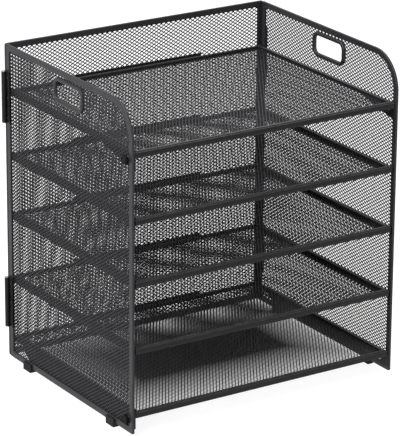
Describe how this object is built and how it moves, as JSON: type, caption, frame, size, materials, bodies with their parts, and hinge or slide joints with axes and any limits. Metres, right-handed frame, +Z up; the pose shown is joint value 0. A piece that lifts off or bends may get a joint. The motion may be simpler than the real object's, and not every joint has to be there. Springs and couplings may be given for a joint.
{
  "type": "desk letter tray organizer",
  "caption": "Black steel mesh letter tray tower: hinged side panels with hand holes, fixed top and bottom trays, and trays between them that slide out on runners.",
  "frame": {"origin": "on the ground, under the middle of the tower", "axes": "+Z up, +X to the right of someone facing the front, +Y to the rear panel; the open front faces -Y"},
  "size_m": [0.3304, 0.252, 0.35],
  "materials": {
    "panel_rim_steel": "black powder coat, satin, on folded sheet steel",
    "tray_rim_steel": "black powder coat, satin, on folded sheet steel",
    "mesh_steel": "black powder coat on expanded diamond mesh",
    "bracket_steel": "black powder coat on bent sheet steel",
    "hinge_steel": "black powder coat on rolled hinge leaves",
    "plated_steel": "zinc plated",
    "screw_knob": "matte black knob on a steel shank",
    "rubber": "matte black rubber"
  },
  "bodies": {
    "rear_frame": {"rear_panel_rim": "panel_rim_steel", "rear_panel_mesh": "mesh_steel", "rear_stop_1": "bracket_steel", "rear_stop_2": "bracket_steel", "rear_stop_3": "bracket_steel", "rear_stop_4": "bracket_steel", "rear_stop_5": "bracket_steel", "bottom_tray_rim": "tray_rim_steel", "bottom_tray_mesh": "mesh_steel", "bottom_tray_left_plate": "bracket_steel", "bottom_tray_right_plate": "bracket_steel", "bottom_tray_nuts": "plated_steel", "top_tray_rim": "tray_rim_steel", "top_tray_mesh": "mesh_steel", "top_tray_left_plate": "bracket_steel", "top_tray_right_plate": "bracket_steel", "top_tray_nuts": "plated_steel", "left_lower_hinge_bracket": "hinge_steel", "left_lower_hinge_pin": "plated_steel", "left_upper_hinge_bracket": "hinge_steel", "left_upper_hinge_pin": "plated_steel", "right_lower_hinge_bracket": "hinge_steel", "right_lower_hinge_pin": "plated_steel", "right_upper_hinge_bracket": "hinge_steel", "right_upper_hinge_pin": "plated_steel"},
    "left_side": {"left_panel_rim": "panel_rim_steel", "left_panel_mesh": "mesh_steel", "left_handle_rim": "panel_rim_steel", "left_screw_eyelets": "plated_steel", "left_front_foot": "rubber", "left_rear_foot": "rubber", "left_runner_1": "bracket_steel", "left_runner_2": "bracket_steel", "left_runner_3": "bracket_steel", "left_lower_thumb_screw": "screw_knob", "left_lower_hinge_leaf": "hinge_steel", "left_upper_thumb_screw": "screw_knob", "left_upper_hinge_leaf": "hinge_steel"},
    "right_side": {"right_panel_rim": "panel_rim_steel", "right_panel_mesh": "mesh_steel", "right_handle_rim": "panel_rim_steel", "right_screw_eyelets": "plated_steel", "right_front_foot": "rubber", "right_rear_foot": "rubber", "right_runner_1": "bracket_steel", "right_runner_2": "bracket_steel", "right_runner_3": "bracket_steel", "right_lower_thumb_screw": "screw_knob", "right_lower_hinge_leaf": "hinge_steel", "right_upper_thumb_screw": "screw_knob", "right_upper_hinge_leaf": "hinge_steel"},
    "sliding_tray_1": {"sliding_tray_1_rim": "tray_rim_steel", "sliding_tray_1_mesh": "mesh_steel"},
    "sliding_tray_2": {"sliding_tray_2_rim": "tray_rim_steel", "sliding_tray_2_mesh": "mesh_steel"},
    "sliding_tray_3": {"sliding_tray_3_rim": "tray_rim_steel", "sliding_tray_3_mesh": "mesh_steel"}
  },
  "joints": [
    {"name": "left_side_fold", "type": "hinge", "parent": "rear_frame", "child": "left_side", "pos_m": [-0.1626, 0.1231, 0.177], "axis": [0, 0, -1], "range_deg": [0, 90]},
    {"name": "right_side_fold", "type": "hinge", "parent": "rear_frame", "child": "right_side", "pos_m": [0.1626, 0.1231, 0.177], "axis": [0, 0, 1], "range_deg": [0, 90]},
    {"name": "tray_1_slide", "type": "slide", "parent": "rear_frame", "child": "sliding_tray_1", "axis": [0, -1, 0], "range_m": [0, 0.25]},
    {"name": "tray_2_slide", "type": "slide", "parent": "rear_frame", "child": "sliding_tray_2", "axis": [0, -1, 0], "range_m": [0, 0.25]},
    {"name": "tray_3_slide", "type": "slide", "parent": "rear_frame", "child": "sliding_tray_3", "axis": [0, -1, 0], "range_m": [0, 0.25]}
  ]
}
